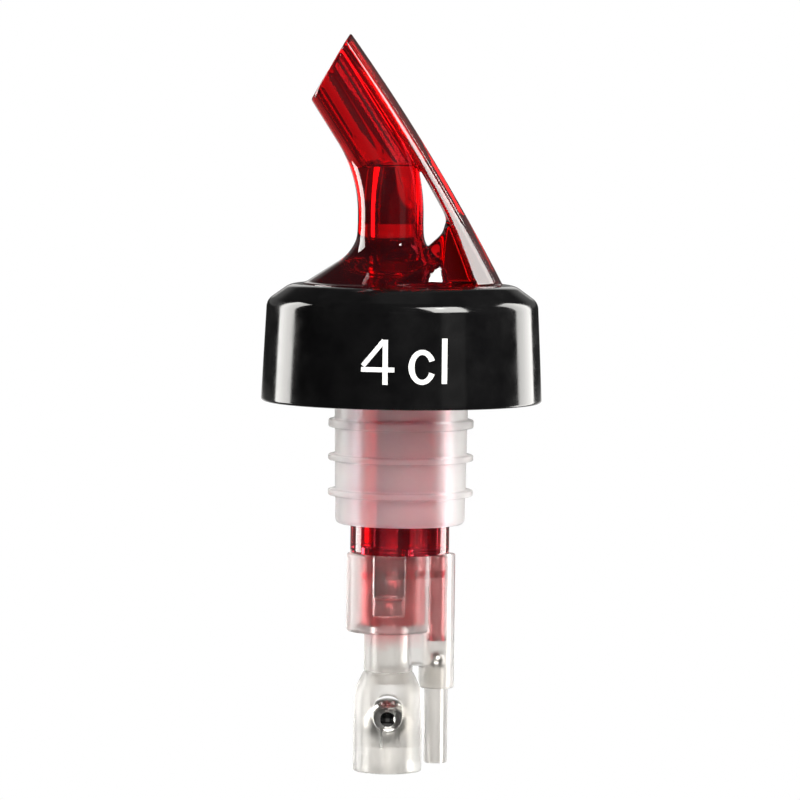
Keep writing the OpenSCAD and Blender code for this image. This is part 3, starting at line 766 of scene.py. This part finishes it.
def stem_field(x, y, z):
    """Red stem with the liquid tube inside it, the latched spigot and the vent spigot."""
    shell = bar(x, y, z, 0, STEM_R, STEM_END_Z, SEAT_Z, soft=0.3)
    side = 2 * math.pi / STEM_FLATS
    flats = np.hypot(x, y) * np.cos((np.arctan2(y, x) + side / 3) % side - side / 2) - STEM_FLATS_R
    shell = blend_max(shell, -blend_max(flats, STEM_END_Z + STEM_FLOOR_T - z, soft=0.3), soft=0.12)
    tube = bar(x, y, z, VALVE_X, LIQUID_TUBE_R, STEM_END_Z, SEAT_Z - TUBE_TOP_GAP, soft=0.15)
    spigot = bar(x, y, z, VALVE_X, SPIGOT_R, SPIGOT_END_Z, STEM_END_Z + STEM_JOIN, soft=0.25)
    ring = bar(x, y, z, VALVE_X, RING_R, RING_LOW_Z, RING_HIGH_Z, soft=0.12)
    spigot = blend_min(spigot, ring, soft=0.15)
    rise = np.clip((z - BARB_Z + BARB_HALF_H) / (2 * BARB_HALF_H), 0, 1)
    barb = np.maximum(np.abs(z - BARB_Z) - BARB_HALF_H, np.abs(x - VALVE_X) - BARB_HALF_W)
    barb = np.maximum(barb, BARB_ROOT - np.abs(y))
    barb = blend_max(barb, np.abs(y) - (BARB_START + BARB_REACH * rise), soft=0.2)
    vent = bar(x, y, z, VENT_X, VENT_SHANK_R, STEM_END_Z - VENT_SHANK_DROP, SEAT_Z, soft=0.15)
    vent = np.minimum(vent, bar(x, y, z, VENT_X, VENT_SPIGOT_R, VENT_STOP_Z, STEM_END_Z, soft=0.15))
    tip = bar(x, y, z, VENT_X, VENT_TIP_R, VENT_STOP_Z, VENT_STOP_Z + VENT_TIP_H, soft=0.15)
    vent = blend_min(vent, tip, soft=0.15)
    body = blend_min(blend_min(shell, tube, soft=0.4), blend_min(spigot, barb, soft=0.2), soft=0.3)
    body = blend_min(body, vent, soft=0.3)
    top = SEAT_Z + CUTTER_OVERRUN
    bore = bar(x, y, z, VALVE_X, LIQUID_BORE_R, FLOW_STOP_Z - CUTTER_LAP, top, soft=0.1)
    chamber = bar(x, y, z, VALVE_X, CHAMBER_R, SPIGOT_END_Z - CUTTER_OVERRUN, FLOW_STOP_Z, soft=0.2)
    air = bar(x, y, z, VENT_X, AIR_R, VENT_STOP_Z - CUTTER_OVERRUN, top, soft=0.1)
    return blend_max(body, -np.minimum(np.minimum(bore, chamber), air), soft=0.15)


field_piece("clear_stem", stem_field, "stem", STEM_RED, pitch=0.30)

# Valve body: the latch windows keep a thin skin between two depths along Y
LATCH_HALF_W, LATCH_HALF_H = 2.25, 1.5
LATCH_INNER_Y, LATCH_OUTER_Y = 5.5, 5.9
NECK_R = 3.65
NECK_BORE_R = 2.3
NECK_JOIN = 0.5
BOSS_R = 3.5
NECK_PLUG_TOP_Z = NECK_END_Z + 1.0
RIB_HALF = 1.9
RIB_LOW_Z = NECK_END_Z + 1.0
CUP_SEAT_R = 3.85
CUP_SEAT_SPREAD = 0.49
SLEEVE_BORE_R = 1.8


def valve_field(x, y, z):
    """Frosted housing with its latch windows, neck and vent sleeve."""
    housing = bar(x, y, z, VALVE_X, HOUSING_R, HOUSING_END_Z, STEM_END_Z, soft=0.6)
    top = STEM_END_Z + CUTTER_OVERRUN
    room = bar(x, y, z, VALVE_X, ROOM_R, HOUSING_FLOOR_Z, top, soft=0.3)
    side = np.abs(x - VALVE_X) - LATCH_HALF_W
    latch = blend_max(side, np.abs(z - BARB_Z) - LATCH_HALF_H, soft=0.2)
    latch = np.maximum(latch, np.minimum(np.abs(y) - LATCH_INNER_Y, LATCH_OUTER_Y - np.abs(y)))
    lead = np.maximum(np.maximum(side, np.abs(y) - LATCH_INNER_Y), BARB_Z - z)
    sleeve = bar(x, y, z, VENT_X, SLEEVE_R, SLEEVE_END_Z, STEM_END_Z, soft=0.35)
    neck_top = HOUSING_END_Z + NECK_JOIN
    neck = bar(x, y, z, VALVE_X, NECK_R, NECK_END_Z, neck_top, soft=0.2)
    neck_plug = bar(x, y, z, VALVE_X, NECK_PLUG_R, METER_SEAT_Z, NECK_PLUG_TOP_Z, soft=0.15)
    boss = bar(x, y, z, VALVE_X, BOSS_R, neck_top, FLOW_SEAT_Z, soft=0.2)
    rib = np.abs(z - (RIB_LOW_Z + neck_top) / 2) - (neck_top - RIB_LOW_Z) / 2
    rib = np.maximum(np.maximum(np.abs(y) - RIB_HALF, rib), np.maximum(VALVE_X - x, x - VENT_X))
    shell = blend_max(blend_min(housing, sleeve, soft=0.3), -room, soft=0.2)
    shell = blend_max(shell, -np.minimum(latch, lead), soft=0.06)
    cup_room = np.hypot(x - VALVE_X, y) - CUP_SEAT_R - (NECK_END_Z - z) * CUP_SEAT_SPREAD
    shell = np.maximum(shell, -np.where(z < NECK_END_Z, cup_room, 1.0))
    body = blend_min(shell, blend_min(neck, boss, soft=0.2), soft=0.4)
    body = blend_min(body, neck_plug, soft=0.15)
    body = blend_min(body, rib, soft=0.4)
    bore_end, bore_top = METER_SEAT_Z - CUTTER_OVERRUN, FLOW_SEAT_Z + CUTTER_OVERRUN
    bore = bar(x, y, z, VALVE_X, NECK_BORE_R, bore_end, bore_top, soft=0.1)
    air = bar(x, y, z, VENT_X, SLEEVE_BORE_R, SLEEVE_END_Z - CUTTER_OVERRUN, top, soft=0.1)
    return blend_max(body, -np.minimum(bore, air), soft=0.15)


field_piece("frosted_valve", valve_field, "valve_body", FROST, pitch=0.16)

# Metering cup
CUP_BORE_R = 3.6
CONE_END_Z, CONE_SLOPE = -40.85, 26.2
CUP_WINDOW_Z, CUP_WINDOW_R, CUP_WINDOW_RISE = -43.7, 2.15, 0.55
SLIT_X, SLIT_HALF_W = VALVE_X - 0.9, 0.15
SLIT_Z, SLIT_HALF_H = -46.3, 2.6


def cup_field(x, y, z):
    """Metering cup with its two side windows and the timing slit."""
    r = np.hypot(x - VALVE_X, y)
    cone_c, cone_s = turned(CONE_SLOPE)
    cup = blend_max(r - CUP_R, (r - CUP_R) * cone_c + (z - CONE_END_Z) * cone_s, soft=0.6)
    length = np.abs(z - (NECK_END_Z + CUP_END_Z) / 2) - (NECK_END_Z - CUP_END_Z) / 2
    cup = blend_max(cup, length, soft=0.3)
    bore = bar(x, y, z, VALVE_X, CUP_BORE_R, CUP_END_Z - CUTTER_OVERRUN, METER_SEAT_Z - SLIP, soft=0.2)
    socket_low, socket_high = METER_SEAT_Z - CUTTER_LAP, NECK_END_Z + CUTTER_OVERRUN
    socket = bar(x, y, z, VALVE_X, NECK_PLUG_R + SLIP, socket_low, socket_high, soft=0.1)
    upright = np.maximum(np.abs(z - CUP_WINDOW_Z) - CUP_WINDOW_RISE, 0)
    window = np.hypot(x - VALVE_X, upright) - CUP_WINDOW_R
    slit = np.maximum(np.abs(x - SLIT_X) - SLIT_HALF_W, np.abs(z - SLIT_Z) - SLIT_HALF_H)
    slit = np.maximum(slit, y)
    cup = blend_max(cup, -np.minimum(bore, socket), soft=0.2)
    return blend_max(blend_max(cup, -window, soft=0.12), -slit, soft=0.1)


field_piece("frosted_cup", cup_field, "metering_cup", CUP_FROST, pitch=0.15)

# Collar
SHOULDER_R, SHOULDER_Z, CROWN_R = 20.25, 17.72, 16.77
RIM_INNER_R, HOLLOW_R = 19.4, 18.55
FLANGE_BORE_R = FLANGE_R + SLIP
collar_outline = [
    (RIM_INNER_R, RIM_Z, 0.35), (RIM_R, RIM_Z, 0.45),
    (SHOULDER_R, SHOULDER_Z, 2.0), (CROWN_R, COLLAR_TOP_Z, 3.5),
    (FLANGE_BORE_R, COLLAR_TOP_Z, 0.12), (FLANGE_BORE_R, SEAT_Z, 0.05),
    (BORE_R, SEAT_Z, 0.1), (BORE_R, PLUG_TOP_Z, 0.1), (HOLLOW_R, PLUG_TOP_Z, 1.0)
]
collar = turned_piece(
    "gloss_collar", collar_outline, "collar", BLACK, segments=256, steps=10
)

# Volume mark printed on the collar's front
PRINT_SINK = 0.06


def ribbon(line, half, height):
    """Closed strip along a line of (x, z) points on the collar's side, so much proud of it."""
    line, half = np.array(line), np.broadcast_to(half, len(line))
    run = np.gradient(line, axis=0)
    run /= np.linalg.norm(run, axis=1)[:, None]
    across = np.stack([-run[:, 1], run[:, 0]], axis=1) * half[:, None]
    rows = []
    for edge, lift in ((1, height), (-1, height), (-1, -PRINT_SINK), (1, -PRINT_SINK)):
        at = line + edge * across
        r = RIM_R - (RIM_R - SHOULDER_R) * (at[:, 1] - RIM_Z) / (SHOULDER_Z - RIM_Z) + lift
        rows.append(np.stack([at[:, 0], -np.sqrt(r * r - at[:, 0] ** 2), at[:, 1]], axis=1))
    points = np.stack(rows, axis=1).reshape(-1, 3)
    faces = [
        (4 * i + j, 4 * i + (j + 1) % 4, 4 * i + 4 + (j + 1) % 4, 4 * i + 4 + j)
        for i in range(len(line) - 1) for j in range(4)
    ]
    last = 4 * (len(line) - 1)
    return points, faces + [(3, 2, 1, 0), (last, last + 1, last + 2, last + 3)]


def straight(a, b):
    """Points along a straight stroke."""
    return np.linspace(a, b, 24)


# Strokes as a line, its half width and its height; those that cross differ in height
DIGIT_X, LETTER_X = -2.425, 6.235
BOWL_X, BOWL_Z, BOWL_HALF_W, BOWL_HALF_H, BOWL_OPEN = 2.98, 9.02, 1.56, 2.18, 24
bowl_turn = np.radians(np.linspace(BOWL_OPEN, 360 - BOWL_OPEN, 64))
bowl = np.stack([
    BOWL_X + BOWL_HALF_W * np.cos(bowl_turn), BOWL_Z + BOWL_HALF_H * np.sin(bowl_turn)
], axis=1)
strokes = [
    (straight((DIGIT_X, 6.42), (DIGIT_X, 12.97)), 0.385, 0.034),
    (straight((-5.93, 8.60), (-1.08, 8.60)), 0.35, 0.030),
    (straight((-2.62, 12.86), (-5.68, 9.13)), 0.355, 0.038),
    (bowl, 0.455 - 0.09 * np.abs(np.sin(bowl_turn)), 0.034),
    (straight((LETTER_X, 6.60), (LETTER_X, 13.20)), 0.395, 0.034)
]
mark_points, mark_faces = [], []
for stroke in strokes:
    points, faces = ribbon(*stroke)
    mark_faces += [[i + len(mark_points) for i in face] for face in faces]
    mark_points += points.tolist()
mark = piece("volume_mark", mark_points, mark_faces, INK)
mark.data.polygons.foreach_set("use_smooth", [False] * len(mark.data.polygons))

# Stopper: fins as lowest and highest level, the wall's radius below and above, and the fin's corners
FIN_R, FIN_FLARE = 10.85, 0.15
FINS = ((-11.3, -10.5, 9.72, 9.78, 0.2), (-6.05, -5.25, 9.82, 9.86, 0.2), (-1.1, 0.0, 9.9, 9.95, 0.25))
PLUG_TIP_R, PLUG_R, LIP_Z = 9.7, 9.95, 16.1
stopper_outline = [(BORE_R, PLUG_END_Z, 0.2), (PLUG_TIP_R, PLUG_END_Z, 0.8)]
for low, high, below_r, above_r, corner in FINS:
    stopper_outline += [
        (below_r, low - FIN_FLARE, 0.25), (FIN_R, low, corner),
        (FIN_R, high, corner), (above_r, high + FIN_FLARE, corner + 0.05)
    ]
stopper_outline += [
    (PLUG_R, LIP_Z, 0.3), (LIP_R, LIP_Z, 0.3), (LIP_R, PLUG_TOP_Z, 0.3), (BORE_R, PLUG_TOP_Z, 0.1)
]
stopper = turned_piece("soft_stopper", stopper_outline, "stopper", MILK)

# Cup plug and vent tube
TIMING_HOLE_R = 0.4
base_outline = [
    (TIMING_HOLE_R, CUP_END_Z, 0.1), (CUP_PLUG_R, CUP_END_Z, 0.3),
    (CUP_PLUG_R, CUP_FLOOR_Z, 0.2), (TIMING_HOLE_R, CUP_FLOOR_Z, 0.1)
]
pipe_outline = [
    (PIPE_BORE_R, PIPE_END_Z, 0.15), (PIPE_R, PIPE_END_Z, 0.25),
    (PIPE_R, PIPE_TOP_Z, 0.15), (PIPE_BORE_R, PIPE_TOP_Z, 0.15)
]
turned_piece("cup_base", base_outline, "cup_plug", CUP_FROST, VALVE_X, segments=96)
turned_piece("vent_pipe", pipe_outline, "vent_tube", FROST, VENT_X, segments=96)

# Balls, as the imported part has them
for name in ("flow_ball", "metering_ball", "vent_ball"):
    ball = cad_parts[name]
    ball.data.materials.clear()
    ball.data.materials.append(STEEL)
    ball.data.polygons.foreach_set("use_smooth", [True] * len(ball.data.polygons))

# Stage: a white floor and background for the camera, and a dim studio around for all else
FLOOR_Z, FLOOR_HALF = -58.0, 3000.0


def white_floor():
    """Glowing white floor that only the camera sees."""
    mesh = bpy.data.meshes.new("floor")
    corners = ((-1, -1), (1, -1), (1, 1), (-1, 1))
    mesh.from_pydata(
        [(i * FLOOR_HALF * MM, j * FLOOR_HALF * MM, FLOOR_Z * MM) for i, j in corners], [], [(0, 1, 2, 3)]
    )
    floor = bpy.data.objects.new("floor", mesh)
    bpy.context.scene.collection.objects.link(floor)
    material = bpy.data.materials.new("pale_floor")
    g = Graph(material)
    g.nodes.clear()
    out = g.add("ShaderNodeOutputMaterial")
    g.links.new(g.add("ShaderNodeEmission").outputs["Emission"], out.inputs["Surface"])
    mesh.materials.append(material)
    floor.visible_diffuse = floor.visible_glossy = False
    floor.visible_transmission = floor.visible_shadow = False


def studio():
    """World that is white for the camera; other rays see a bright panel behind the object."""
    world = bpy.data.worlds.new("studio")
    bpy.context.scene.world = world
    g = Graph(world)
    g.nodes.clear()
    x, y, z = g.axes(g.add("ShaderNodeTexCoord").outputs["Generated"])
    # The panel is wide low down and narrower from just under the horizon, with one thin narrow strip
    narrow = g.ramp(g.between(z, 0.0, 1.0, -0.1, 0.0), [
        (place, grey(level)) for place, level in (
            (0.0, 0.18), (0.068, 0.18), (0.071, 1.0), (0.124, 1.0),
            (0.128, 0.18), (0.34, 0.18), (0.44, 0.45), (1.0, 0.45)
        )
    ])
    panel = g.between(g.math("MULTIPLY", g.math("ABSOLUTE", x), narrow), 1.0, 0.2, 0.058, 0.09)
    behind = g.between(y, 0.1, 1.0, 0.0, 0.35)
    # A dark stripe crosses it at the horizon, and it fades far above and below
    shade = g.ramp(g.between(z, 0.0, 1.0, -0.5, 0.5), [
        (place, grey(level)) for place, level in (
            (0.0, 0.5), (0.25, 1.0), (0.438, 1.0), (0.448, 0.13), (0.58, 0.13),
            (0.60, 1.0), (0.8, 1.0), (0.93, 0.12), (1.0, 0.12)
        )
    ])
    dim, white = g.add("ShaderNodeBackground"), g.add("ShaderNodeBackground")
    dim.inputs["Color"].default_value = (1, 0.99, 0.97, 1)
    white.inputs["Color"].default_value = (1, 1, 1, 1)
    g.put(g.math("MULTIPLY", g.math("MULTIPLY", panel, behind), shade), dim.inputs["Strength"])
    mix = g.add("ShaderNodeMixShader")
    g.put(g.add("ShaderNodeLightPath").outputs["Is Camera Ray"], mix.inputs["Fac"])
    g.put(dim.outputs["Background"], mix.inputs[1])
    g.put(white.outputs["Background"], mix.inputs[2])
    g.put(mix.outputs["Shader"], g.add("ShaderNodeOutputWorld").inputs["Surface"])


def softbox(name, azimuth, elevation, distance, width, height, glow, mirrored=True, only=None):
    """Area light, in metres, that faces the object from an azimuth to the right of the camera.

    Polished pieces show it unless mirrored is off, and it may light one piece only.
    """
    lamp = bpy.data.lights.new(name, "AREA")
    lamp.shape = "RECTANGLE"
    lamp.size, lamp.size_y = width, height
    lamp.energy = glow * math.pi * width * height
    lamp.color = (1.0, 0.985, 0.955)
    thing = bpy.data.objects.new(name, lamp)
    bpy.context.scene.collection.objects.link(thing)
    az_c, az_s = turned(azimuth)
    el_c, el_s = turned(elevation)
    place = Vector((az_s * el_c, -az_c * el_c, el_s)) * distance
    thing.location = place
    thing.rotation_euler = (-place).to_track_quat("-Z", "Y").to_euler()
    thing.visible_glossy = mirrored
    if only:
        lit = bpy.data.collections.new(name)
        lit.objects.link(only)
        thing.light_linking.receiver_collection = lit


white_floor()
studio()
softbox("strip_left", -113, 12, 0.46, 0.19, 0.50, 9)
softbox("strip_right", 124, 4, 0.45, 0.22, 0.7, 6.5)
softbox("key", 42, 38, 0.55, 0.30, 0.42, 15, only=collar)
softbox("notch", 39, 47, 0.55, 0.06, 0.04, 26)
softbox("front", 26, 34, 0.55, 0.30, 0.24, 15, mirrored=False)
softbox("side", -28, 16, 0.55, 0.24, 0.24, 2.5, mirrored=False, only=stopper)
softbox("fill", 43, 4, 0.60, 0.22, 0.5, 0.2)
softbox("low", 0, -36, 0.50, 0.40, 0.22, 8, mirrored=False)
softbox("spark", 42, 8, 0.55, 0.16, 0.24, 7, only=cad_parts["metering_ball"])

# Camera, at the photograph's viewing angle; distance and aim in metres
CAMERA_DISTANCE = 0.80
CAMERA_ELEVATION = 3.7
CAMERA_ROLL = 0.67
PIXELS_PER_MM = 6.69
IMAGE_SIZE = 800
SENSOR_WIDTH = 36.0
AIM = Vector((-0.0002, 0, 0.0029))
camera_data = bpy.data.cameras.new("camera")
camera = bpy.data.objects.new("camera", camera_data)
bpy.context.scene.collection.objects.link(camera)
bpy.context.scene.camera = camera
camera_data.sensor_width = SENSOR_WIDTH
camera_data.lens = SENSOR_WIDTH * PIXELS_PER_MM * CAMERA_DISTANCE / MM / IMAGE_SIZE
camera_data.clip_start = 0.01
el_c, el_s = turned(CAMERA_ELEVATION)
away = Vector((0, -el_c, el_s))
camera.location = AIM + away * CAMERA_DISTANCE
camera.rotation_euler = (
    (-away).to_track_quat("-Z", "Y").to_matrix() @ Matrix.Rotation(math.radians(CAMERA_ROLL), 3, "Z")
).to_euler()

# Clear walls lie behind each other, so light has to pass many of them
bpy.context.scene.view_settings.view_transform = "Standard"
bpy.context.scene.cycles.max_bounces = 32
bpy.context.scene.cycles.transmission_bounces = 32
bpy.context.scene.cycles.glossy_bounces = 12
